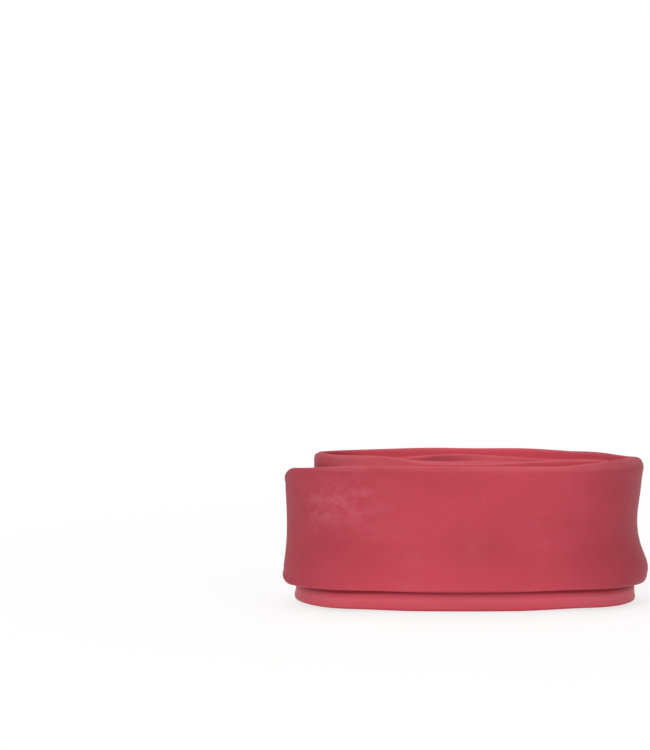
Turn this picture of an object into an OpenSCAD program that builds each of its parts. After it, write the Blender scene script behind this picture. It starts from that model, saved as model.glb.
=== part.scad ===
// Latex inner tube for a racing bicycle, doubled, rolled up flat and standing on its edge,
// with a removable-core valve lying inside the roll.
// Millimetres. +Z is up, +X runs along the roll, -Y is the side with the free end.
// Origin: middle of the roll at the height it stands on.

/* [Tube] */

// Lay-flat width of the deflated tube
tube_w = 33; // [31:0.5:35]

// Thickness of one flattened strand, two walls together
strand_t = 1.0; // [0.8:0.05:1.05]

/* [Roll] */

// Length of the empty pocket in the middle of the roll, left of its centre
pocket_left = 30.5; // [30:0.5:34]

// Length of the empty pocket in the middle of the roll, right of its centre
pocket_right = 35.3; // [34.8:0.5:38]

// Half width of the pocket
pocket_half = 6.4; // [6.2:0.1:8]

// Distance from one strand to the next
pitch = 1.1; // [1.1:0.01:1.2]

// Slack of the outer strand where it goes round the left bend
left_slack = 4.0; // [0:0.1:5]

/* [Valve] */

// Angle of the valve above the horizontal
valve_tilt = 37; // [35:1:38]

// Diameter of the smooth valve stem
stem_d = 6.0; // [5.8:0.1:6.0]

// Diameter of the skirt of the dust cap
cap_d = 8.0; // [7.4:0.1:8.2]

/* [Hidden] */

$fn = 64;

tip_l = 5.4;
tip_r = 3.5;
step = 7.5;
turns_end = -1611;
cut_at = -198 * step;
cut_gap = 0.25;
lip = 0.3;

latex = [0.75, 0.29, 0.35];
rubber_pad = [0.62, 0.22, 0.28];
steel = [0.78, 0.78, 0.80];
brass = [0.80, 0.66, 0.36];
black_rubber = [0.12, 0.12, 0.12];
cap_black = [0.10, 0.10, 0.11];

// Pocket outline: two end arcs joined by two long shallow arcs
c_l = pocket_left - tip_l;
c_r = pocket_right - tip_r;
span = c_l + c_r;
ka = pocket_half - tip_l;
kb = pocket_half - tip_r;
kq = pow(ka * span, 2) + (kb - ka) * (ka * span * span + ka * kb * (tip_r - tip_l));
reach_l = (sqrt(kq) - ka * span) / (kb - ka);
arc_r = (reach_l * reach_l / ka + tip_l + pocket_half) / 2;
arc_x = reach_l - c_l;
arc_y = arc_r - pocket_half;
turn_r = atan2(arc_y, c_r - arc_x);
turn_l = atan2(arc_y, -c_l - arc_x);

function on_arc(cx, cy, r, a) = [cx + r * cos(a), cy + r * sin(a)];
function wrap(tau) = tau - 360 * floor((tau + 45) / 360);
function oval_at(t, d) =
    t < 45 ? on_arc(c_r, 0, tip_r + d, t / 45 * turn_r)
    : t < 135 ? on_arc(arc_x, -arc_y, arc_r + d, turn_r + (t - 45) / 90 * (turn_l - turn_r))
    : t < 225 ? on_arc(-c_l, 0, tip_l + d, 180 + (t - 180) / 45 * (180 - turn_l))
    : on_arc(arc_x, arc_y, arc_r + d, 360 - turn_l + (t - 225) / 90 * (turn_l - turn_r));
function ease(a, b, v) = let(s = min(1, max(0, (v - a) / (b - a)))) s * s * (3 - 2 * s);
function swell(tau, mid) = abs(tau - mid) > 60 ? 0 : pow(cos((tau - mid) * 1.5), 2);

// Outer strand of the doubled tube: offset from the pocket and height of its lower edge
function out_off(tau) =
    pitch * (0.5 + 2 * (1 - ease(15, 75, tau)) + 2 * max(0, -tau) / 360)
    + left_slack * (swell(tau, -1260) + swell(tau, -1620));
function out_z(tau) = 0.5 + 4 * ease(150, 60, tau) - 4.5 * ease(-400, -700, tau) + 5 * ease(-1260, -1440, tau);

// Inner strand: first leg along the pocket, then back outwards beside it
function in_off(tau) = pitch * (1.5 - 2 * tau / 360) + left_slack * swell(tau, -1620);
function in_z(tau) = 4.5 + 0.5 * ease(0, -300, tau) + 0.7 * swell(tau / 3, -420);

function out_at(tau) = concat(oval_at(wrap(tau), out_off(tau)), out_z(tau));
function in_at(tau) = concat(oval_at(wrap(tau), in_off(tau)), in_z(tau));
function leg_at(tau) = concat(oval_at(wrap(tau), 0.5 * pitch), 0.5 + 4 * ease(-150, -60, tau));
function mid(a, b) = (a + b) / 2;

// Half circle of a folded end between two strand points, bulging along the direction "side"
function fold(a, b, side) = [for (k = [1 : 7])
    let(m = mid(a, b), h = (a - b) / 2, u = k * 22.5)
    [m[0] + h[0] * cos(u) + side[0] * norm([h[0], h[1]]) * sin(u),
     m[1] + h[1] * cos(u) + side[1] * norm([h[0], h[1]]) * sin(u), m[2] + h[2] * cos(u)]];

inner_pts = concat(
    [for (k = [-198 : 23]) out_at(k * step)],
    [for (k = [-24 : -1]) leg_at(k * step)],
    fold(leg_at(0), in_at(0), [0, 1]),
    [for (k = [-1 : -1 : -198]) in_at(k * step)]);

end_a = out_at(turns_end);
end_b = in_at(turns_end);
end_n = (end_a - end_b) / norm([end_a[0] - end_b[0], end_a[1] - end_b[1]]);
outer_pts = concat(
    [out_at(cut_at - cut_gap)],
    [for (k = [-199 : -1 : -214]) out_at(k * step)],
    fold(end_a, end_b, [end_n[1], -end_n[0]]),
    [for (k = [-214 : -199]) in_at(k * step)],
    [in_at(cut_at - cut_gap)]);

reach_right = pocket_right + out_off(-1440) + strand_t / 2;
reach_left = min([for (p = outer_pts) p[0]]) - strand_t / 2;
reach_back = pocket_half + out_off(-1350) + strand_t / 2;
reach_front = min([for (p = outer_pts) p[1]]) - strand_t / 2;
shift = [-(reach_right + reach_left) / 2, -(reach_back + reach_front) / 2, 0];

// Strip of flattened tube swept along a list of points
function heading(p, i) = let(a = p[max(0, i - 1)], b = p[min(len(p) - 1, i + 1)], d = [b[0] - a[0], b[1] - a[1]])
    d / norm(d);
function section(p, i) = let(
    t = heading(p, i),
    n = [t[1], -t[0]],
    h = strand_t / 2)
    [for (q = [[-h, lip], [lip - h, 0], [h - lip, 0], [h, lip], [h, tube_w - lip], [h - lip, tube_w],
        [lip - h, tube_w], [-h, tube_w - lip]])
        [p[i][0] + n[0] * q[0], p[i][1] + n[1] * q[0], p[i][2] + q[1]]];
module strip(p) {
    m = 8;
    n = len(p);
    pts = [for (i = [0 : n - 1]) each section(p, i)];
    sides = [for (i = [0 : n - 2]) for (j = [0 : m - 1]) each [
        [i * m + j, i * m + (j + 1) % m, (i + 1) * m + (j + 1) % m],
        [i * m + j, (i + 1) * m + (j + 1) % m, (i + 1) * m + j]]];
    first = [for (j = [0 : m - 1]) m - 1 - j];
    last = [for (j = [0 : m - 1]) (n - 1) * m + j];
    polyhedron(points = pts, faces = concat(sides, [first, last]), convexity = 20);
}

// Valve, drawn along its own axis: 0 is the underside of the brass foot
foot = [3.5 - pocket_left, 0, 4.8];
stem_r = stem_d / 2;
foot_r = 3.75;
foot_t = 1.0;
base_r = 4.1;
root_z = 4.2;
shoulder = 34;
stem_top = 38;
neck_r = 2.6;
channel_r = 1.7;
seat_z = 31;
thread_z = 33;
thread_r = 2.05;
core_head_top = 41;
nut_top = 44.65;
spindle_top = 48;
spindle_r = 0.65;
cap_mouth = 34.4;
cap_top = 49.9;
cap_r = cap_d / 2;

module on_valve() {
    translate(shift + foot)
        rotate([0, 90 - valve_tilt, 0])
            children();
}

module tube_roll() {
    color(latex)
        translate(shift)
            strip(inner_pts);
}

module tube_free_end() {
    color(latex)
        translate(shift)
            strip(outer_pts);
}

module valve_patch() {
    color(rubber_pad)
        difference() {
            hull() {
                translate(shift + [-c_l, 0, 1.0])
                    rotate([0, 0, 134])
                        rotate_extrude(angle = 92, $fn = 60)
                            translate([tip_l - 0.6, 0])
                                square([0.5, 8.4]);
                on_valve()
                    translate([0, 0, -0.95])
                        cylinder(h = 0.3, r = base_r - 0.1, $fn = 40);
            }
            on_valve()
                translate([-20, -20, -0.65])
                    cube([40, 40, 40]);
        }
}

module valve_base() {
    color(rubber_pad)
        on_valve()
            rotate_extrude()
                polygon([[1.8, -0.6], [base_r, -0.6], [base_r, 0.9], [base_r - 0.5, 2.0], [stem_r + 0.15, root_z - 0.1],
                    [stem_r - 0.18, root_z - 0.1], [stem_r - 0.18, foot_t + 0.02], [foot_r + 0.02, foot_t + 0.02],
                    [foot_r + 0.02, -0.02], [1.8, -0.02]]);
}

module valve_stem() {
    color(steel)
        on_valve()
            difference() {
                union() {
                    cylinder(h = foot_t, r = foot_r);
                    cylinder(h = root_z, r = stem_r - 0.2);
                    translate([0, 0, root_z])
                        cylinder(h = shoulder - 0.4 - root_z, r = stem_r);
                    translate([0, 0, shoulder - 0.4])
                        cylinder(h = 0.4, r1 = stem_r, r2 = neck_r);
                    translate([0, 0, shoulder])
                        cylinder(h = stem_top - shoulder - 0.3, r = neck_r);
                    translate([0, 0, stem_top - 0.3])
                        cylinder(h = 0.3, r1 = neck_r, r2 = neck_r - 0.25);
                }
                translate([0, 0, -1])
                    cylinder(h = seat_z + 1, r = channel_r);
                translate([0, 0, seat_z])
                    cylinder(h = thread_z - seat_z, r1 = channel_r, r2 = thread_r);
                translate([0, 0, thread_z])
                    cylinder(h = stem_top - thread_z + 1, r = thread_r);
                for (k = [0 : 2])
                    translate([0, 0, shoulder + 0.45 + 1.06 * k])
                        rotate_extrude()
                            polygon([[neck_r - 0.2, 0.3], [neck_r + 1, -0.6], [neck_r + 1, 1.2]]);
            }
}

module core_barrel() {
    color(brass)
        on_valve()
            difference() {
                union() {
                    translate([0, 0, 27])
                        cylinder(h = 7, r = 1.35);
                    translate([0, 0, 33.6])
                        cylinder(h = 0.4, r = 1.9);
                    translate([0, 0, 34])
                        cylinder(h = 4.05, r = thread_r - 0.05);
                    translate([0, 0, 38.05])
                        cylinder(h = 0.5, r = 2.45);
                    translate([0, 0, 38.55])
                        cylinder(h = core_head_top - 38.85, r = 2.3);
                    translate([0, 0, core_head_top - 0.3])
                        cylinder(h = 0.3, r1 = 2.3, r2 = 2.05);
                }
                translate([0, 0, 26])
                    cylinder(h = 16, r = spindle_r + 0.1);
                for (s = [-1, 1])
                    translate([-3, s * 2.9 - 0.9, 38.6])
                        cube([6, 1.8, 3]);
                for (k = [0 : 3])
                    translate([0, 0, 34.4 + 0.8 * k])
                        rotate_extrude()
                            polygon([[thread_r - 0.25, 0.2], [thread_r + 1, -0.9], [thread_r + 1, 1.3]]);
            }
}

module core_gasket() {
    color(black_rubber)
        on_valve()
            rotate_extrude()
                polygon([[1.37, 31.2], [1.62, 31.2], [1.96, 33.2], [1.96, 33.55], [1.37, 33.55]]);
}

module core_spindle() {
    color(brass)
        on_valve()
            rotate_extrude()
                polygon([[0, 24.4], [spindle_r, 24.4], [spindle_r, 46.7], [1.1, 46.9], [1.35, 47.2],
                    [1.35, 47.6], [1.1, 47.9], [0, spindle_top]]);
}

module lock_nut() {
    color(brass)
        on_valve()
            difference() {
                union() {
                    translate([0, 0, core_head_top + 0.05])
                        cylinder(h = 0.5, r1 = 1.6, r2 = 2.1);
                    translate([0, 0, core_head_top + 0.55])
                        cylinder(h = 2.6, r = 2.1);
                    translate([0, 0, core_head_top + 3.15])
                        cylinder(h = nut_top - core_head_top - 3.15, r1 = 2.1, r2 = 1.7);
                }
                translate([0, 0, core_head_top - 1])
                    cylinder(h = 6, r = spindle_r + 0.05);
                for (k = [0 : 15])
                    rotate([0, 0, k * 22.5])
                        translate([2.22, 0, core_head_top - 1])
                            cylinder(h = 6, r = 0.25, $fn = 16);
            }
}

module plunger_cup() {
    color(brass)
        on_valve()
            difference() {
                union() {
                    translate([0, 0, 23.6])
                        cylinder(h = 0.6, r1 = 0.45, r2 = 1.0);
                    translate([0, 0, 24.2])
                        cylinder(h = 1.4, r = 1.25);
                }
                translate([0, 0, 24.38])
                    cylinder(h = 2, r = spindle_r + 0.02);
            }
}

module plunger_seal() {
    color(black_rubber)
        on_valve()
            rotate_extrude()
                polygon([[spindle_r + 0.02, 25.63], [1.15, 25.63], [1.15, 26.4], [0.95, 26.95],
                    [spindle_r + 0.02, 26.95]]);
}

module dust_cap() {
    color(cap_black)
        on_valve()
            difference() {
                union() {
                    translate([0, 0, cap_mouth])
                        cylinder(h = 8.1, r = cap_r);
                    translate([0, 0, cap_mouth + 8.1])
                        cylinder(h = 1.2, r1 = cap_r, r2 = 2.95);
                    translate([0, 0, cap_mouth + 9.3])
                        cylinder(h = cap_top - cap_mouth - 11.3, r1 = 2.95, r2 = 2.85);
                    translate([0, 0, cap_top - 2.0])
                        rotate_extrude()
                            polygon([[0, -0.1], [2.85, -0.1], [2.85, 0], [2.7, 0.8], [2.2, 1.4], [1.3, 1.85],
                                [0, 2]]);
                }
                translate([0, 0, cap_mouth - 1])
                    cylinder(h = 8.6, r = neck_r + 0.08);
                translate([0, 0, cap_mouth + 7.6])
                    cylinder(h = 0.35, r1 = neck_r + 0.08, r2 = 2.35);
                translate([0, 0, cap_mouth + 7.9])
                    cylinder(h = 48.3 - cap_mouth - 7.9, r = 2.35);
                for (k = [0 : 11])
                    rotate([0, 0, k * 30])
                        translate([cap_r + 0.55, 0, cap_mouth + 1.3])
                            cylinder(h = 10, r = 0.95, $fn = 24);
            }
}

tube_roll();
tube_free_end();
valve_patch();
valve_base();
valve_stem();
core_barrel();
core_gasket();
core_spindle();
lock_nut();
plunger_cup();
plunger_seal();
dust_cap();
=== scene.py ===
"""Rolled latex inner tube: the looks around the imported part."""

import math

import bmesh
import bpy
import numpy as np
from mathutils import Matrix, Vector


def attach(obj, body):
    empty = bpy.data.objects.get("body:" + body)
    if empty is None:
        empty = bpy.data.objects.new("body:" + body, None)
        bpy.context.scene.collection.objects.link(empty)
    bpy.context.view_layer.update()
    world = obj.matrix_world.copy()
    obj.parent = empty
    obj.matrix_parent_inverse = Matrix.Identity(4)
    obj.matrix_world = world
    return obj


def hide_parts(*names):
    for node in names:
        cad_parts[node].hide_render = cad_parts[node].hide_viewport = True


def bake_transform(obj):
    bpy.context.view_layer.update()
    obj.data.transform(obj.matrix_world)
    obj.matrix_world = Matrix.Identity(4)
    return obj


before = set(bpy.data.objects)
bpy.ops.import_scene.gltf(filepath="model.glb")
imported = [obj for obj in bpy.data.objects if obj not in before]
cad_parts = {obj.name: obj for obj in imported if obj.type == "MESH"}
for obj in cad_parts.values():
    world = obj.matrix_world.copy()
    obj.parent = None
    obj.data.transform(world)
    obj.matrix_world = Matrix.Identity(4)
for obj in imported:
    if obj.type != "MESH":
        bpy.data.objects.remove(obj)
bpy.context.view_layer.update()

MM = 0.001

# ---------------------------------------------------------------- roll path
# The same plan path as the part's source, in millimetres.
TUBE_W = 33.0
PITCH = 1.1
POCKET_L, POCKET_R, POCKET_H = 30.5, 35.3, 6.4
TIP_L, TIP_R = 5.4, 3.5
LEFT_SLACK = 4.0
END = -1611.0  # angle at which the loose end stops, in degrees of turn
SHIFT = (-0.446734, 0.590319)  # from the path's own origin to the frame's
FOOT_IN = 3.5  # from the pocket's left end to the foot of the valve
FOOT = (SHIFT[0] + FOOT_IN - POCKET_L, SHIFT[1], 4.8)
TILT = math.radians(37)
AXIS = np.array([math.cos(TILT), 0.0, math.sin(TILT)])

C_L, C_R = POCKET_L - TIP_L, POCKET_R - TIP_R
SPAN = C_L + C_R
KA, KB = POCKET_H - TIP_L, POCKET_H - TIP_R
KQ = (KA * SPAN) ** 2 + (KB - KA) * (KA * SPAN * SPAN + KA * KB * (TIP_R - TIP_L))
REACH = (math.sqrt(KQ) - KA * SPAN) / (KB - KA)
ARC_R = (REACH * REACH / KA + TIP_L + POCKET_H) / 2
ARC_X, ARC_Y = REACH - C_L, ARC_R - POCKET_H
TURN_R = math.degrees(math.atan2(ARC_Y, C_R - ARC_X))
TURN_L = math.degrees(math.atan2(ARC_Y, -C_L - ARC_X))


def ease(a, b, v):
    """Smooth step from 0 where v is a to 1 where v is b."""
    s = np.clip((v - a) / (b - a), 0, 1)
    return s * s * (3 - 2 * s)


def swell(tau, mid):
    """Smooth bump of 1 at the angle mid, gone 60 degrees to either side."""
    away = tau - mid
    return np.where(np.abs(away) > 60, 0, np.cos(np.radians(away * 1.5)) ** 2)


def oval(tau, d):
    """Points on the pocket's outline, of two tips and two flat arcs, moved out by d."""
    t = tau - 360 * np.floor((tau + 45) / 360)
    arcs = [
        (t < 45, C_R, 0, TIP_R, t / 45 * TURN_R),
        ((t >= 45) & (t < 135), ARC_X, -ARC_Y, ARC_R, TURN_R + (t - 45) / 90 * (TURN_L - TURN_R)),
        ((t >= 135) & (t < 225), -C_L, 0, TIP_L, 180 + (t - 180) / 45 * (180 - TURN_L)),
        (t >= 225, ARC_X, ARC_Y, ARC_R, 360 - TURN_L + (t - 225) / 90 * (TURN_L - TURN_R)),
    ]
    x, y = np.zeros_like(t), np.zeros_like(t)
    for on, cx, cy, r, phi in arcs:
        a = np.radians(phi)
        x = np.where(on, cx + (r + d) * np.cos(a), x)
        y = np.where(on, cy + (r + d) * np.sin(a), y)
    return np.stack([x + SHIFT[0], y + SHIFT[1]], 1)


def out_off(tau):
    """Distance of the outer strand from the pocket's outline."""
    layers = 0.5 + 2 * (1 - ease(15, 75, tau)) + 2 * np.maximum(0, -tau) / 360
    return PITCH * layers + LEFT_SLACK * (swell(tau, -1260) + swell(tau, -1620))


def out_z(tau):
    """Height of the outer strand's lower edge."""
    return 0.5 + 4 * ease(150, 60, tau) - 4.5 * ease(-400, -700, tau) + 5 * ease(-1260, -1440, tau)


def in_off(tau):
    """Distance of the inner strand from the pocket's outline."""
    return PITCH * (1.5 - 2 * tau / 360) + LEFT_SLACK * swell(tau, -1620)


def in_z(tau):
    """Height of the inner strand's lower edge."""
    return 4.5 + 0.5 * ease(0, -300, tau) + 0.7 * swell(tau / 3, -420)


def leg_z(tau):
    """Height of the lower edge on the leg from the valve to the U-turn."""
    return 0.5 + 4 * ease(-150, -60, tau)


def run(kind, a, b):
    """Rows of x, y, z, turn angle, strand kind along one strand from angle a to b."""
    n = max(3, int(abs(b - a) / 0.75))
    tau = np.linspace(a, b, n)
    if kind == 0:
        p, z = oval(tau, out_off(tau)), out_z(tau)
    elif kind == 1:
        p, z = oval(tau, in_off(tau)), in_z(tau)
    else:
        p, z = oval(tau, np.full(n, 0.5 * PITCH)), leg_z(tau)
    return np.column_stack([p, z, tau, np.full(n, float(kind))])


FOLD_KIND = 3  # marks the rows of a fold; 0 is the outer strand, 1 the inner, 2 the leg to the U-turn


def fold(a, b, side, bulge=1.0):
    """Folded end between two strand rows."""
    u = np.radians(np.linspace(0, 180, 15)[1:-1])
    m, h = (a + b) / 2, (a - b) / 2
    r = math.hypot(h[0], h[1])
    rows = m + np.outer(np.cos(u), h)
    rows[:, 0] += side[0] * r * bulge * np.sin(u)
    rows[:, 1] += side[1] * r * bulge * np.sin(u)
    rows[:, 4] = FOLD_KIND
    return rows


def lay(rows, step, soft=1.6):
    """Even spacing along the path, lightly smoothed everywhere but in tight folds."""
    d = np.hypot(np.diff(rows[:, 0]), np.diff(rows[:, 1]))
    s = np.concatenate([[0], np.cumsum(d)])
    n = int(s[-1] / step) + 1
    q = np.linspace(0, s[-1], n)
    out = np.column_stack([np.interp(q, s, rows[:, k]) for k in range(rows.shape[1])])
    tight = np.interp(q, s, (rows[:, 4] == FOLD_KIND).astype(float))
    reach = int(soft * 3 / step)
    w = np.exp(-0.5 * (np.arange(-reach, reach + 1) * step / soft) ** 2)
    w /= w.sum()
    near = np.convolve(tight, np.ones(2 * reach + 1), "same") > 0
    for k in (0, 1, 2):
        pad = np.pad(out[:, k], reach, mode="reflect", reflect_type="odd")
        smooth = np.convolve(pad, w, "valid")
        out[:, k] = np.where(near, out[:, k], smooth)
    return np.column_stack([out, q])


# ---------------------------------------------------------------- strip mesh
LIP = 0.53  # half thickness of the folded edge
MID = 0.43  # half thickness of the flat part


def half_thick(e):
    """Half thickness of the flattened tube at distance e from its edge."""
    groove = 0.2 * np.exp(-(((e - 2.3) / 0.9) ** 2))
    h = MID + (LIP - MID) * np.exp(-((np.maximum(e - 0.6, 0) / 0.75) ** 2)) - groove * 0.6
    cap = np.sqrt(np.maximum(0, 1 - ((LIP - np.minimum(e, LIP)) / LIP) ** 2)) * LIP
    return np.where(e < LIP, np.minimum(cap, h), h)


def ring():
    """Loop of (side, distance from the edge, and 0 for the lower edge, 1 for the upper, 2 for the middle)."""
    lip = [0.0, 0.03, 0.12, 0.27, 0.46, 0.7]
    face = [1.0, 1.4, 1.9, 2.5, 3.3, 4.5, 6.2, 8.3, 10.6, 13.4]
    up = [(e, 0) for e in lip + face] + [(TUBE_W / 2, 2)] + [(e, 1) for e in reversed(lip + face)]
    return [(1, e, top) for e, top in up] + [(-1, e, top) for e, top in reversed(up) if e > 0]


RING = ring()


def wave(x, y, z, seed, scale):
    """Smooth repeatable unevenness, about -1 to 1."""
    v = 0
    for k in range(4):
        f = (k + 1) / scale
        a = math.sin(seed * 12.9 + k * 7.1) * 0.9
        b = math.cos(seed * 4.7 + k * 3.3) * 0.9
        c = math.sin(seed * 2.1 + k)
        v = v + np.sin(f * (x * (0.6 + abs(a)) + y * b + z * c) + seed * 5 + k * 1.7) / (k + 1)
    return v / 2.08


def strip(name, rows, shape):
    """Closed mesh of a flattened tube laid along rows; shape moves points to their final place."""
    n, m = len(rows), len(RING)
    t = np.gradient(rows[:, :2], axis=0)
    t /= np.linalg.norm(t, axis=1)[:, None]
    nrm = np.column_stack([t[:, 1], -t[:, 0]])
    sgn = np.array([p[0] for p in RING], float)
    e = np.array([p[1] for p in RING], float)
    top = np.array([p[2] for p in RING])
    h = half_thick(e)
    h[top == 2] = MID
    lo, hi = shape.heights(rows)
    width = (hi - lo)[:, None]
    flat = np.where(top == 0, e, np.where(top == 1, TUBE_W - e, TUBE_W / 2))
    v = flat[None, :] * (width / TUBE_W)
    z = lo[:, None] + v
    thin = 1 - 0.16 * ease(30, 38, np.abs(rows[:, 0:1]))
    off = sgn[None, :] * h[None, :] * thin
    x = rows[:, 0:1] + nrm[:, 0:1] * off
    y = rows[:, 1:2] + nrm[:, 1:2] * off
    x, y, z = shape.place(rows, nrm, x, y, z, np.clip(v / width, 0, 1))
    co = np.stack([x, y, z], 2).reshape(-1, 3) * MM
    i = np.arange(n - 1)[:, None]
    j = np.arange(m)[None, :]
    k = (j + 1) % m
    quads = np.stack([i * m + j, i * m + k, (i + 1) * m + k, (i + 1) * m + j], 2).reshape(-1, 4)
    faces = quads.tolist() + [list(range(m - 1, -1, -1)), list(range((n - 1) * m, n * m))]
    mesh = bpy.data.meshes.new(name)
    mesh.from_pydata(co.tolist(), [], faces)
    mesh.validate()
    obj = bpy.data.objects.new(name, mesh)
    bpy.context.scene.collection.objects.link(obj)
    bm = bmesh.new()
    bm.from_mesh(mesh)
    bmesh.ops.recalc_face_normals(bm, faces=bm.faces)
    for f in bm.faces:
        f.smooth = len(f.verts) == 4
    for edge in bm.edges:
        if any(len(f.verts) > 4 for f in edge.link_faces):
            edge.smooth = False
    bm.to_mesh(mesh)
    bm.free()
    return obj


VIEW_DROP = 0.1636  # fall of the rims towards the back
NECK_Z = FOOT[2] + 27.4 * math.tan(TILT) + 5.5  # top of the valve's path where x is 0


def rim_back(x):
    """Height of the upper rim along the back of the outermost turn, where y is 0."""
    return 40.2 - 2.1 * ease(12, 46, x) ** 1.35 - 0.96 * ((np.minimum(x, -5) + 5) / 32) ** 2


def rim_front(x):
    """Height of the upper rim along the loose end, where y is 0."""
    return 34.97 + 2.6 * np.maximum(0, (x - 22) / 23) ** 1.35 - 0.4 * ease(-30, -42, x)


def rounded(r, gap):
    """Drop of a rim near a corner of radius r, at distance gap from the corner's side."""
    return r - np.sqrt(np.maximum(0, r * r - np.maximum(0, r - np.maximum(0, gap)) ** 2))


class Shape:
    """Where the rolled rubber sags, leans and bulges away from the plain path."""

    def heights(self, rows):
        """Height of the lower and the upper edge at each row."""
        x, y, tau, kind = rows[:, 0], rows[:, 1], rows[:, 3], rows[:, 4]
        lo = rows[:, 2].copy()
        hi = lo + TUBE_W
        outer = kind == 0
        # inner turns have slipped down, except along the front
        front = ease(-1, -6, y) * (1 - ease(16, 28, np.abs(x)))
        slip = 3.0 * (1 - front) * ease(-1135, -1090, tau)
        last_leg = outer & (tau > -30)
        slip = slip * np.where(outer, ease(-520, -400, tau) * (1 - ease(-20, 45, tau)), 1)
        slip = np.minimum(slip, np.maximum(lo - 0.4, 0))
        lo, hi = lo - slip, hi - slip
        # rim of the outer strand's last leg, behind the valve
        leg_rim = 37.5 - 1.2 * ease(-8, 24, x) - 0.6 * np.exp(-(((x + 18) / 8) ** 2))
        hi = np.where(last_leg, hi + (leg_rim - hi) * ease(-20, 45, tau) * (1 - ease(115, 175, tau)), hi)
        # rims of the outermost turn
        plane = rim_front(x) + (rim_back(x) - rim_front(x)) * ease(-1480, -1405, tau) - VIEW_DROP * y
        left = 38 + 1.0 * ease(-8, -20, x) + 0.85 * ease(2, 22, x)
        strand = np.where(tau < -1260, plane, left)
        share = np.where(outer, ease(-1350, -1430, tau), ease(-1090, -1135, tau))
        hi = hi + (strand - hi) * share
        hi = hi - rounded(2.4, x + 40.9) * share * (1 - ease(-1400, -1440, tau))
        lo = lo + (0.55 * ease(4, 30, np.abs(x)) + 0.15) * ease(-1400, -1480, tau)
        lo = lo + (0.5 * ease(12, 32, np.abs(x)) + 0.1 * ease(39, 44.5, np.abs(x))) * ease(1.5, 0.2, lo)
        hi += 0.10 * wave(x, y, 0 * x, 3.0, 11.0) * ease(-1480, -1400, tau)
        # corners of the loose end
        if tau.min() < -1600:
            hi = hi - rounded(1.7, x.max() - x)
            lo, hi = lo + rounded(1.7, x - x.min()), hi - rounded(2.3, x - x.min())
        return lo, hi

    def place(self, rows, nrm, x, y, z, v):
        """Points of the strip moved from the plain path to where they lie in the roll."""
        px, py, tau, kind = rows[:, 0:1], rows[:, 1:2], rows[:, 3:4], rows[:, 4:5]
        rank = np.where(tau < 0, -tau / 360, 0)
        out = np.where(nrm[:, 0:1] * (px - SHIFT[0]) + nrm[:, 1:2] * (py - SHIFT[1]) > 0, 1.0, -1.0)
        hollow = 0.6 * ease(1.0, 4.2, rank) * (1 - (2 * v - 1) ** 2) ** 1.2 * (1 - ease(30, 42, px))
        end = ease(-1530, -1570, tau)
        puff = 0.5 * np.exp(-(((z - 8.0) / 6.0) ** 2)) * ease(-30, -44, px) * end
        ripple = 0.10 * ease(2.0, 4.0, rank) * wave(px, py, z * 0.8, 8.0, 7.0)
        tuck = 0.6 * ease(0.94, 1.0, v) + 0.3 * ease(0.05, 0.0, v)
        tuck = tuck * ease(34, 43, np.abs(px)) * ease(2.4, 3.4, rank)
        d = (-hollow + puff + ripple - tuck * (1 - end)) * out
        x = x + nrm[:, 0:1] * d
        y = y + nrm[:, 1:2] * d
        # the right bend is drawn in at mid height and flares near its lower edge
        waist = 1.3 + 1.3 * np.exp(-(((z - 21) / 7.5) ** 2)) - 0.4 * ease(6, 0, z) - 0.6 * ease(31.5, 36.5, z)
        flare = 1.7 * np.exp(-(((z - 9.0) / 4.6) ** 2)) * ease(-1330, -1420, tau)
        layer = 0.5 + rank * (np.abs(kind - 2) > 0.5) + np.clip(1 - kind, 0, 1) * (0.5 - ease(15, 75, tau))
        x = x - (waist - flare) * ease(8, 46, px) * np.minimum(1, layer / 5.05)
        # the left bend is packed tighter than the plain path
        packed = 1.65 - 0.4 * ease(5, 1, z) - 0.6 * ease(30, 35, z)
        x = x + packed * ease(-30, -41, px) * (1 - ease(-1500, -1550, tau))
        # walls lean towards each other over the pocket
        top = np.maximum(22, NECK_Z + px * math.tan(TILT))
        lean = np.clip((z - top) / np.maximum(38 - top, 2), 0, 1.1) ** 1.5
        close = 3.2 * ease(6, -14, px) * ease(-30, -16, px) * lean
        wall = np.clip((z - 24) / 14, 0, 1.1) ** 1.5
        y = y - close * np.where(kind < 0.5, ease(0, 50, tau), 0)
        back = 7.0 * ease(-6, -27, px) * (1 - ease(-14, 9, py)) * wall
        return x, y + back * ease(-1300, -1200, tau), z


SEAM = -1402.0  # angle at which the loose end is parted from the roll
shape = Shape()
inner = np.concatenate(
    [
        run(0, SEAM, 179),
        run(2, -180, 0)[1:],
        fold(run(2, -1, 0)[-1], run(1, 0, -1)[0], (0, 1)),
        run(1, 0, SEAM),
    ]
)
end_a, end_b = run(0, END + 1, END)[-1], run(1, END + 1, END)[-1]
end_n = (end_a - end_b)[:2] / np.linalg.norm((end_a - end_b)[:2])
outer = np.concatenate(
    [
        run(0, SEAM, END),
        fold(end_a, end_b, (end_n[1], -end_n[0]), 1.3),
        run(1, END, SEAM),
    ]
)
roll = strip("tube_rolled", lay(inner, 1.3), shape)
band = strip("tube_band", lay(outer, 0.8), shape)


# ---------------------------------------------------------------- materials
def nodes_of(name):
    mat = bpy.data.materials.new(name)
    mat.use_nodes = True
    tree = mat.node_tree
    tree.nodes.clear()
    out = tree.nodes.new("ShaderNodeOutputMaterial")
    bsdf = tree.nodes.new("ShaderNodeBsdfPrincipled")
    tree.links.new(bsdf.outputs[0], out.inputs[0])
    return mat, tree, bsdf


def add(tree, kind, **values):
    node = tree.nodes.new("ShaderNode" + kind)
    for k, v in values.items():
        if k in node.inputs:
            node.inputs[k].default_value = v
        else:
            setattr(node, k, v)
    return node


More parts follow.
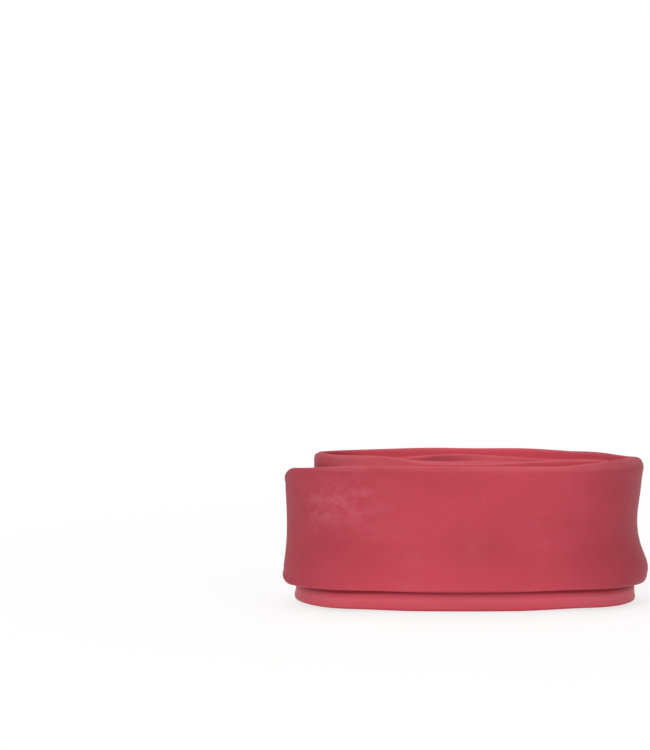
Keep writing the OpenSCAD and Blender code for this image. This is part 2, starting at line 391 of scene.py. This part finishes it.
def noise(tree, coords, scale, detail=4.0, rough=0.55, distort=0.0):
    n = add(tree, "TexNoise", Scale=scale, Detail=detail, Roughness=rough, Distortion=distort)
    tree.links.new(coords, n.inputs["Vector"])
    return n.outputs["Fac"]


def ramp(tree, fac, stops):
    r = tree.nodes.new("ShaderNodeValToRGB")
    while len(r.color_ramp.elements) < len(stops):
        r.color_ramp.elements.new(0.5)
    for el, (pos, col) in zip(r.color_ramp.elements, stops):
        el.position = pos
        el.color = (*col, 1)
    tree.links.new(fac, r.inputs[0])
    return r.outputs[0]


def mix(tree, fac, a, b):
    m = add(tree, "Mix", data_type="RGBA")
    for sock, v in ((m.inputs[0], fac), (m.inputs[6], a), (m.inputs[7], b)):
        if hasattr(v, "is_linked"):
            tree.links.new(v, sock)
        elif isinstance(v, (int, float)):
            sock.default_value = v
        else:
            sock.default_value = (*v, 1)
    return m.outputs[2]


def maths(tree, op, a, b=0.0, clamp=False):
    m = add(tree, "Math", operation=op, use_clamp=clamp)
    for sock, v in ((m.inputs[0], a), (m.inputs[1], b)):
        if hasattr(v, "is_linked"):
            tree.links.new(v, sock)
        else:
            sock.default_value = v
    return m.outputs[0]


def times(tree, a, b):
    return maths(tree, "MULTIPLY", a, b)


def bump(tree, bsdf, height, strength, distance):
    b = add(tree, "Bump", Strength=strength, Distance=distance)
    tree.links.new(height, b.inputs["Height"])
    tree.links.new(b.outputs[0], bsdf.inputs["Normal"])


def srgb(*color):
    """Linear colour from screen values of 0 to 255."""
    shares = [c / 255 for c in color]
    return tuple(((c + 0.055) / 1.055) ** 2.4 if c > 0.04045 else c / 12.92 for c in shares)


def split(tree, coords):
    """x, y and z of the point being shaded, in metres."""
    node = tree.nodes.new("ShaderNodeSeparateXYZ")
    tree.links.new(coords, node.inputs[0])
    return node.outputs[0], node.outputs[1], node.outputs[2]


def band_pass(tree, value, low, high, soft):
    """1 between low and high, falling to 0 over soft on either side."""
    up = add(tree, "MapRange", interpolation_type="SMOOTHSTEP")
    tree.links.new(value, up.inputs[0])
    up.inputs[1].default_value = low - soft
    up.inputs[2].default_value = low + soft
    down = add(tree, "MapRange", interpolation_type="SMOOTHSTEP")
    tree.links.new(value, down.inputs[0])
    down.inputs[1].default_value = high + soft
    down.inputs[2].default_value = high - soft
    return times(tree, up.outputs[0], down.outputs[0])


def stretched(tree, coords, x, y, z):
    """Coordinates scaled along each axis, for marks that run one way."""
    node = add(tree, "Mapping")
    node.inputs["Scale"].default_value = (x, y, z)
    tree.links.new(coords, node.inputs["Vector"])
    return node.outputs[0]


def speck(tree, coords, place, radius):
    """Small dark pinhole at a place."""
    gap = add(tree, "VectorMath", operation="DISTANCE")
    tree.links.new(coords, gap.inputs[0])
    gap.inputs[1].default_value = place
    return band_pass(tree, gap.outputs["Value"], -radius, radius, radius * 0.5)


def latex():
    """Thin red latex with a dry, talc-dusted skin."""
    mat, tree, bsdf = nodes_of("latex")
    pos = tree.nodes.new("ShaderNodeTexCoord").outputs["Object"]
    x, y, z = split(tree, pos)
    base, deep, pale = srgb(193, 64, 81), srgb(175, 53, 68), srgb(202, 112, 125)
    end_shade, crimson = srgb(147, 44, 59), srgb(172, 28, 50)
    black, white = (0, 0, 0), (1, 1, 1)
    cloud = noise(tree, stretched(tree, pos, 0.55, 1, 1), 48.0, 3.0, 0.5)
    c = mix(tree, ramp(tree, cloud, [(0.38, black), (0.66, white)]), base, deep)
    # painted light: brighter and more vivid towards the foot, standing in for light from the floor
    c = mix(tree, times(tree, band_pass(tree, z, -0.02, 0.012, 0.007), 0.6), c, srgb(203, 68, 86))
    # painted shade: darker and greyer towards both ends of the roll
    ends = maths(tree, "SUBTRACT", 1.0, band_pass(tree, x, -0.036, 0.031, 0.014))
    c = mix(tree, times(tree, ends, 0.75), c, end_shade)
    # talc, thickest high on the left of the loose end
    dust = noise(tree, stretched(tree, pos, 0.8, 1, 1.2), 300.0, 7.0, 0.68, 0.15)
    patchy = noise(tree, pos, 90.0, 3.0, 0.6, 0.1)
    corner = band_pass(tree, x, -0.040, -0.022, 0.007)
    corner = times(tree, corner, band_pass(tree, z, 0.022, 0.034, 0.006))
    corner = times(tree, corner, band_pass(tree, y, -0.03, -0.004, 0.002))
    stray = times(tree, ramp(tree, patchy, [(0.52, black), (0.7, white)]), 0.3)
    where = maths(tree, "ADD", stray, corner, True)
    mask = times(tree, ramp(tree, dust, [(0.42, black), (0.68, white)]), where)
    c = mix(tree, times(tree, mask, 0.44), c, pale)
    # paler upper rims of the strip: rubbed wear, with a painted highlight where the top edges catch the light
    rub = noise(tree, stretched(tree, pos, 0.3, 1, 1), 160.0, 4.0, 0.6)
    rim_streaks = ramp(tree, rub, [(0.3, black), (0.6, white)])
    rim = times(tree, band_pass(tree, z, 0.0365, 0.045, 0.0006), rim_streaks)
    c = mix(tree, times(tree, rim, 0.35), c, srgb(206, 104, 112))
    # the edge that stands on the floor is paler, partly talc and partly painted light from the floor, with a
    # painted shade line in the crease above it
    foot = band_pass(tree, z, -0.01, 0.0036, 0.0007)
    c = mix(tree, times(tree, foot, 0.8), c, srgb(205, 80, 95))
    # chalky patches at both ends of that edge
    chalk = times(tree, ends, ramp(tree, rub, [(0.35, black), (0.6, white)]))
    c = mix(tree, times(tree, times(tree, foot, chalk), 0.7), c, srgb(176, 92, 103))
    # painted shade: a thin dark crimson line in the crease under the loose end's lower lip
    crease_shade = band_pass(tree, z, 0.0045, 0.0055, 0.0003)
    c = mix(tree, times(tree, crease_shade, 0.9), c, srgb(128, 10, 28))
    # painted shade: deep in a fold the rubber is painted crimson, standing in for the dim light there that
    # has passed through it
    cave = add(tree, "AmbientOcclusion", Distance=0.0026)
    cave.samples = 8
    open_share = ramp(tree, cave.outputs["AO"], [(0.3, black), (0.9, white)])
    c = mix(tree, open_share, crimson, c)
    # a weak glow in the hollows stands in for light through the thin rubber
    bsdf.inputs["Emission Color"].default_value = (*srgb(214, 106, 118), 1)
    hollow = add(tree, "AmbientOcclusion", Distance=0.012)
    hollow.samples = 8
    shut = maths(tree, "SUBTRACT", 1.0, hollow.outputs["AO"])
    high = band_pass(tree, z, 0.030, 0.06, 0.006)
    wall = times(tree, band_pass(tree, x, -0.030, 0.05, 0.006), 0.36)
    pocket = band_pass(tree, x, -0.024, 0.034, 0.006)
    pocket = times(tree, pocket, band_pass(tree, y, 0.003, 0.0085, 0.0015))
    glow = times(tree, high, maths(tree, "ADD", wall, times(tree, pocket, 0.85)))
    # painted light: the glow also lifts the shade on the strand just under the loose end's lower lip
    step_glow = times(tree, band_pass(tree, z, 0.002, 0.0044, 0.0006), 0.17)
    glow = maths(tree, "ADD", glow, step_glow)
    tree.links.new(times(tree, shut, glow), bsdf.inputs["Emission Strength"])
    # two pinholes in the loose end
    for place in ((-0.0317, -0.0155, 0.0095), (0.0315, -0.0168, 0.0098)):
        c = mix(tree, times(tree, speck(tree, pos, place, 0.00045), 0.55), c, srgb(96, 20, 34))
    tree.links.new(c, bsdf.inputs["Base Color"])
    rough = maths(tree, "ADD", times(tree, mask, 0.18), 0.58)
    tree.links.new(rough, bsdf.inputs["Roughness"])
    bsdf.inputs["Subsurface Weight"].default_value = 0.2
    bsdf.inputs["Subsurface Radius"].default_value = (1.0, 0.25, 0.2)
    bsdf.inputs["Subsurface Scale"].default_value = 0.0012
    bsdf.inputs["Sheen Weight"].default_value = 0.06
    bsdf.inputs["Sheen Roughness"].default_value = 0.6
    bsdf.inputs["Specular IOR Level"].default_value = 0.25
    fine = noise(tree, pos, 1400.0, 3.0)
    skin_grain = times(tree, noise(tree, stretched(tree, pos, 0.35, 1, 1), 320.0, 4.0), 0.9)
    bump(tree, bsdf, maths(tree, "ADD", fine, skin_grain), 0.28, 0.00009)
    return mat


def simple(name, color, rough, metal, grain, depth):
    """Plain turned or moulded material with a fine grain."""
    mat, tree, bsdf = nodes_of(name)
    pos = tree.nodes.new("ShaderNodeTexCoord").outputs["Object"]
    n = noise(tree, pos, grain, 4.0)
    tree.links.new(mix(tree, n, color, tuple(c * 0.75 for c in color)), bsdf.inputs["Base Color"])
    uneven = maths(tree, "ADD", times(tree, n, 0.15), rough - 0.07)
    tree.links.new(uneven, bsdf.inputs["Roughness"])
    bsdf.inputs["Metallic"].default_value = metal
    bump(tree, bsdf, n, 0.3, depth)
    return mat


def paint(obj, mat):
    obj.data.materials.clear()
    obj.data.materials.append(mat)


LATEX = latex()
NICKEL = simple("nickel", (0.72, 0.72, 0.74), 0.25, 1.0, 900.0, 0.00002)
BRASS = simple("brass", (0.80, 0.62, 0.30), 0.28, 1.0, 900.0, 0.00002)
RUBBER = simple("seal_rubber", (0.03, 0.03, 0.03), 0.6, 0.0, 900.0, 0.00004)
PLASTIC = simple("cap_plastic", (0.02, 0.02, 0.022), 0.35, 0.0, 500.0, 0.00003)

for o in (roll, band):
    paint(o, LATEX)
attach(roll, "roll")
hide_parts("tube_roll")
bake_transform(band)
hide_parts("tube_free_end")

# ---------------------------------------------------------------- valve
# two directions across the valve's axis, the first of them upward
E1 = np.array([-math.sin(TILT), 0.0, math.cos(TILT)])
E2 = np.array([0.0, -1.0, 0.0])
CREASE_ANGLE = math.radians(38)


def skin(name, rings, ends):
    """Closed mesh over a list of rings of points; ends is 'loop' or 'poles'."""
    n, m = len(rings), len(rings[0])
    co = np.concatenate(rings)
    j = np.arange(m)
    k = (j + 1) % m
    last = n if ends == "loop" else n - 1
    faces = []
    for i in range(last):
        p, q = i * m, ((i + 1) % n) * m
        faces += np.stack([p + j, p + k, q + k, q + j], 1).tolist()
    if ends == "poles":
        base = len(co)
        co = np.concatenate([co, [rings[0].mean(0)], [rings[-1].mean(0)]])
        faces += [(base, int(b), int(a)) for a, b in zip(j, k)]
        faces += [(base + 1, (n - 1) * m + int(a), (n - 1) * m + int(b)) for a, b in zip(j, k)]
    mesh = bpy.data.meshes.new(name)
    mesh.from_pydata((co * MM).tolist(), [], faces)
    mesh.validate()
    obj = bpy.data.objects.new(name, mesh)
    bpy.context.scene.collection.objects.link(obj)
    bm = bmesh.new()
    bm.from_mesh(mesh)
    bmesh.ops.recalc_face_normals(bm, faces=bm.faces)
    for f in bm.faces:
        f.smooth = True
    for edge in bm.edges:
        if len(edge.link_faces) == 2 and edge.calc_face_angle() > CREASE_ANGLE:
            edge.smooth = False
    bm.to_mesh(mesh)
    bm.free()
    return obj


def soften(points, r, loop):
    """Rounds the corners of a profile."""
    out = []
    n = len(points)
    for i, p in enumerate(points):
        p = np.array(p, float)
        if not loop and i in (0, n - 1):
            out.append(p)
            continue
        a, b = np.array(points[i - 1], float) - p, np.array(points[(i + 1) % n], float) - p
        la, lb = np.linalg.norm(a), np.linalg.norm(b)
        c = min(r, la * 0.45, lb * 0.45)
        s, e = p + a / la * c, p + b / lb * c
        for t in (0.0, 0.33, 0.67, 1.0):
            out.append((1 - t) ** 2 * s + 2 * t * (1 - t) * p + t * t * e)
    return out


def fill_in(points, step, loop):
    """Adds points so that no side of the profile is longer than step."""
    out = []
    pairs = list(zip(points, points[1:] + points[:1])) if loop else list(zip(points, points[1:]))
    for p, q in pairs:
        n = max(1, int(math.ceil(np.linalg.norm(np.array(q) - np.array(p)) / step)))
        out += [np.array(p) + (np.array(q) - np.array(p)) * i / n for i in range(n)]
    return out if loop else out + [np.array(points[-1])]


def lathe(name, points, loop, cut=None, round_r=0.12, step=9.0, seg=72):
    """Piece turned about the valve axis from (radius, height) points.

    cut changes the radius round the turn, for threads, flats and ribs.
    """
    prof = fill_in(soften(points, round_r, loop), step, loop)
    th = np.linspace(0, 2 * math.pi, seg, endpoint=False)
    rings = []
    for r, w in prof:
        rr = np.full(seg, max(r, 1e-4))
        if cut is not None:
            rr = cut(rr, w, th)
        across = np.outer(rr * np.cos(th), E1) + np.outer(rr * np.sin(th), E2)
        rings.append(np.array(FOOT) + np.outer(np.full(seg, w), AXIS) + across)
    return skin(name, rings, "loop" if loop else "poles")


def screw(w, th, pitch, low, high):
    """Depth of a helical groove, 0 to 1, fading out at both ends."""
    f = np.mod(w / pitch - th / (2 * math.pi), 1)
    v = np.clip(np.abs(2 * f - 1) * 1.5 - 0.25, 0, 1)
    fade = np.clip((w - low) / 0.35, 0, 1) * np.clip((high - w) / 0.35, 0, 1)
    return v * fade


def stem_cut(r, w, th):
    """Thread of the neck."""
    deep = np.where((r > 2.4) & (w > 34.1), 0.24 * screw(w, th, 1.06, 34.2, 37.9), 0)
    return r - deep


def core_cut(r, w, th):
    """Wrench flats and thread of the core."""
    flats = np.minimum(r, 2.0 / np.maximum(np.abs(np.cos(th)), 0.2))
    r = np.where((w > 38.58) & (r > 1.2), flats, r)
    return r - np.where((r > 1.8) & (w < 38.0), 0.2 * screw(w, th, 0.8, 34.1, 37.8), 0)


def nut_cut(r, w, th):
    """Crossed knurling of the lock nut."""
    a = np.abs(np.mod(th * 18 / (2 * math.pi) + w * 1.3, 1) * 2 - 1)
    b = np.abs(np.mod(th * 18 / (2 * math.pi) - w * 1.3, 1) * 2 - 1)
    fade = np.clip((w - 41.5) / 0.2, 0, 1) * np.clip((44.3 - w) / 0.2, 0, 1)
    groove = np.clip(1 - np.minimum(a, b) * 3.2, 0, 1)
    return r - np.where(r > 1.5, 0.2 * groove * fade, 0)


def spindle_cut(r, w, th):
    """Fine thread of the spindle."""
    return r - np.where((r > 0.5) & (w > 40.8) & (w < 46.7), 0.1 * screw(w, th, 0.5, 40.9, 46.6), 0)


def cap_cut(r, w, th):
    """Ribs round the lower part of the cap."""
    rib = np.clip(1.6 * np.abs(np.sin(th * 6)) - 0.35, 0, 1)
    fade = np.clip((w - 35.7) / 0.5, 0, 1) * np.clip((43.1 - w) / 0.9, 0, 1)
    return r - np.where(r > 3.0, 0.55 * (1 - rib) * fade * np.clip((r - 3.0) / 0.6, 0, 1), 0)


base = lathe(
    "valve_root_rubber",
    [(1.8, -0.6), (4.1, -0.6), (4.08, 0.6), (3.75, 1.5), (3.4, 2.6), (3.15, 4.1), (2.82, 4.1), (2.82, 1.02),
     (3.77, 1.02), (3.77, -0.02), (1.8, -0.02)],
    True, round_r=0.3, step=0.6, seg=64,
)
stem = lathe(
    "valve_stem_turned",
    [(1.7, 0), (3.75, 0), (3.75, 1.0), (2.8, 1.0), (2.8, 4.2), (3.0, 4.2), (3.0, 33.55), (2.6, 34.0),
     (2.6, 37.7), (2.35, 38.0), (2.05, 38.0), (2.05, 33.0), (1.7, 31.0)],
    True, stem_cut, 0.1, 0.09, 96,
)
barrel = lathe(
    "core_barrel_turned",
    [(0.75, 27.0), (1.35, 27.0), (1.35, 33.6), (1.9, 33.6), (2.0, 34.0), (2.0, 38.05), (2.45, 38.05),
     (2.45, 38.55), (2.3, 38.6), (2.3, 40.7), (2.05, 41.0), (0.75, 41.0)],
    True, core_cut, 0.06, 0.09, 96,
)
gasket = lathe(
    "core_gasket_ring",
    [(1.37, 31.2), (1.62, 31.2), (1.96, 33.2), (1.96, 33.55), (1.37, 33.55)],
    True, None, 0.12, 0.4, 48,
)
spindle = lathe(
    "core_spindle_turned",
    [(0, 24.4), (0.65, 24.4), (0.65, 46.7), (1.1, 46.8), (1.35, 47.1), (1.35, 47.6), (1.05, 47.88),
     (0.5, 48.0), (0, 48.0)],
    False, spindle_cut, 0.08, 0.07, 48,
)
nut = lathe(
    "lock_nut_knurled",
    [(0.7, 41.05), (1.6, 41.05), (2.1, 41.5), (2.1, 44.25), (1.7, 44.65), (0.7, 44.65)],
    True, nut_cut, 0.08, 0.09, 144,
)
cup = lathe(
    "plunger_cup_turned",
    [(0, 23.6), (0.5, 23.6), (1.0, 24.2), (1.25, 24.22), (1.25, 25.6), (0.67, 25.6), (0.67, 24.38),
     (0, 24.38)],
    False, None, 0.08, 0.5, 48,
)
seal = lathe(
    "plunger_seal_ring",
    [(0.67, 25.63), (1.15, 25.63), (1.15, 26.4), (0.95, 26.95), (0.67, 26.95)],
    True, None, 0.14, 0.4, 48,
)
cap = lathe(
    "dust_cap_moulded",
    [(0, 48.3), (1.9, 48.3), (2.35, 47.9), (2.35, 42.35), (2.68, 42.0), (2.68, 34.4), (3.8, 34.4),
     (4.0, 34.6), (4.0, 35.5), (4.0, 42.4), (3.6, 43.1), (2.95, 43.7), (2.85, 47.9), (2.7, 48.7),
     (2.2, 49.3), (1.3, 49.75), (0.4, 49.9), (0, 49.9)],
    False, cap_cut, 0.2, 0.25, 144,
)


def patch():
    """Rubber patch between the tube's inner face and the tilted valve base."""
    wall_r = TIP_L - 0.1
    cx, cy = SHIFT[0] - C_L, SHIFT[1]
    u = np.linspace(0, 2 * math.pi, 72, endpoint=False)

    def on_wall(k, lift):
        """Ring of the patch on the tube's inner face, k of its full size."""
        phi = math.pi + math.radians(47) * k * np.cos(u)
        r = wall_r - lift
        return np.column_stack([cx + r * np.cos(phi), cy + r * np.sin(phi), 4.5 + 3.3 * k * np.sin(u)])

    def on_base(k, w):
        """Ring of the patch under the valve's base, at height w on the valve's axis."""
        across = np.outer(4.0 * k * np.sin(u), E1) + np.outer(4.0 * k * np.cos(u), E2)
        return np.array(FOOT) + AXIS * w + across

    rings = [on_wall(k, 0.0) for k in (0.15, 0.4, 0.65, 0.85, 0.97)]
    rings.append(on_wall(1.0, 0.12))
    rings.append(on_wall(1.0, 0.35))
    a, b = on_wall(0.97, 0.6), on_base(0.97, -0.95)
    for t in np.linspace(0, 1, 9):
        rings.append(a + (b - a) * t)
    rings.append(on_base(1.0, -0.85))
    rings.append(on_base(1.0, -0.7))
    rings += [on_base(k, -0.65) for k in (0.96, 0.7, 0.4, 0.15)]
    return skin("valve_patch_rubber", rings, "poles")


pad = patch()

# each visible piece of the valve, with its body, the part it stands for, its slot and its material
VALVE = [
    (stem, "roll", "valve_stem", "stem_metal", NICKEL),
    (barrel, "core", "core_barrel", "core_brass", BRASS),
    (spindle, "spindle", "core_spindle", "core_brass", BRASS),
    (nut, "nut", "lock_nut", "core_brass", BRASS),
    (cup, "spindle", "plunger_cup", "core_brass", BRASS),
    (seal, "spindle", "plunger_seal", "seal_rubber", RUBBER),
    (gasket, "core", "core_gasket", "seal_rubber", RUBBER),
    (cap, "cap", "dust_cap", "cap_plastic", PLASTIC),
    (base, "roll", "valve_base", "valve_rubber", LATEX),
    (pad, "roll", "valve_patch", "valve_rubber", LATEX),
]
for piece, body, node, slot, mat in VALVE:
    paint(piece, mat)
    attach(piece, body)
    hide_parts(node)

# ---------------------------------------------------------------- stage
def plane(name, size, z):
    """Square floor at height z, which isn't part of the object."""
    mesh = bpy.data.meshes.new(name)
    s = size / 2
    mesh.from_pydata([(-s, -s, z), (s, -s, z), (s, s, z), (-s, s, z)], [], [(0, 1, 2, 3)])
    obj = bpy.data.objects.new(name, mesh)
    bpy.context.scene.collection.objects.link(obj)
    return obj


def white_floor():
    """Pale matt floor that fades to plain white away from the part."""
    mat, tree, bsdf = nodes_of("floor")
    bsdf.inputs["Base Color"].default_value = (0.96, 0.96, 0.96, 1)
    bsdf.inputs["Roughness"].default_value = 0.9
    bsdf.inputs["Specular IOR Level"].default_value = 0.0
    glow = add(tree, "Emission", Strength=1.0)
    glow.inputs["Color"].default_value = (1, 1, 1, 1)
    pos = tree.nodes.new("ShaderNodeTexCoord").outputs["Object"]
    away = add(tree, "VectorMath", operation="LENGTH")
    tree.links.new(pos, away.inputs[0])
    fade = add(tree, "MapRange", interpolation_type="SMOOTHSTEP")
    tree.links.new(away.outputs["Value"], fade.inputs[0])
    fade.inputs[1].default_value = 0.05
    fade.inputs[2].default_value = 0.22
    fade.inputs[3].default_value = 0.74
    shader = tree.nodes.new("ShaderNodeMixShader")
    tree.links.new(fade.outputs[0], shader.inputs[0])
    tree.links.new(bsdf.outputs[0], shader.inputs[1])
    tree.links.new(glow.outputs[0], shader.inputs[2])
    out = next(n for n in tree.nodes if n.type == "OUTPUT_MATERIAL")
    tree.links.new(shader.outputs[0], out.inputs[0])
    return mat


FLOOR_Z = -0.0002  # just under the part, so that the two faces never share a plane
floor = plane("floor", 12.0, FLOOR_Z)
paint(floor, white_floor())


def studio_world(strength):
    """Even light from all round, and plain white where the camera sees it."""
    world = bpy.data.worlds.new("studio")
    bpy.context.scene.world = world
    world.use_nodes = True
    tree = world.node_tree
    light = tree.nodes["Background"]
    light.inputs[0].default_value = (1, 1, 1, 1)
    light.inputs[1].default_value = strength
    seen = tree.nodes.new("ShaderNodeBackground")
    seen.inputs[0].default_value = (1, 1, 1, 1)
    path = tree.nodes.new("ShaderNodeLightPath")
    both = tree.nodes.new("ShaderNodeMixShader")
    tree.links.new(path.outputs["Is Camera Ray"], both.inputs[0])
    tree.links.new(light.outputs[0], both.inputs[1])
    tree.links.new(seen.outputs[0], both.inputs[2])
    tree.links.new(both.outputs[0], tree.nodes["World Output"].inputs[0])


studio_world(0.5)


def area(name, place, aim, size, power):
    """Soft square light at a place, turned towards a point."""
    light = bpy.data.lights.new(name, "AREA")
    light.size = size
    light.energy = power
    obj = bpy.data.objects.new(name, light)
    obj.location = place
    obj.rotation_euler = (Vector(aim) - Vector(place)).to_track_quat("-Z", "Y").to_euler()
    bpy.context.scene.collection.objects.link(obj)


PART_MIDDLE = (0, 0, 0.02)
area("key", (-0.45, -1.0, 0.8), PART_MIDDLE, 0.7, 6.0)
area("fill", (0.8, -0.9, 0.4), PART_MIDDLE, 0.8, 1.2)
area("top", (0.0, 0.1, 1.2), PART_MIDDLE, 0.8, 5.0)

# ---------------------------------------------------------------- camera
ELEVATION = math.radians(9.3)
DISTANCE = 1.6
FRAME_LONG = 0.1938  # height of the view at the part, in metres
PART_RIGHT, PART_DOWN = 0.0366, 0.0395  # where the part stands in the view, from its centre

middle = Vector((0, 0, 0.019))
view_up = Vector((0, math.sin(ELEVATION), math.cos(ELEVATION)))
cam = bpy.data.cameras.new("camera")
cam.sensor_width = 36.0
cam.lens = cam.sensor_width * DISTANCE / FRAME_LONG
cam.clip_end = 50
camera = bpy.data.objects.new("camera", cam)
camera.location = middle + DISTANCE * Vector((0, -math.cos(ELEVATION), math.sin(ELEVATION)))
aim = middle - Vector((PART_RIGHT, 0, 0)) + PART_DOWN * view_up
camera.rotation_euler = (aim - camera.location).to_track_quat("-Z", "Y").to_euler()
bpy.context.scene.collection.objects.link(camera)
bpy.context.scene.camera = camera
bpy.context.scene.view_settings.view_transform = "Standard"
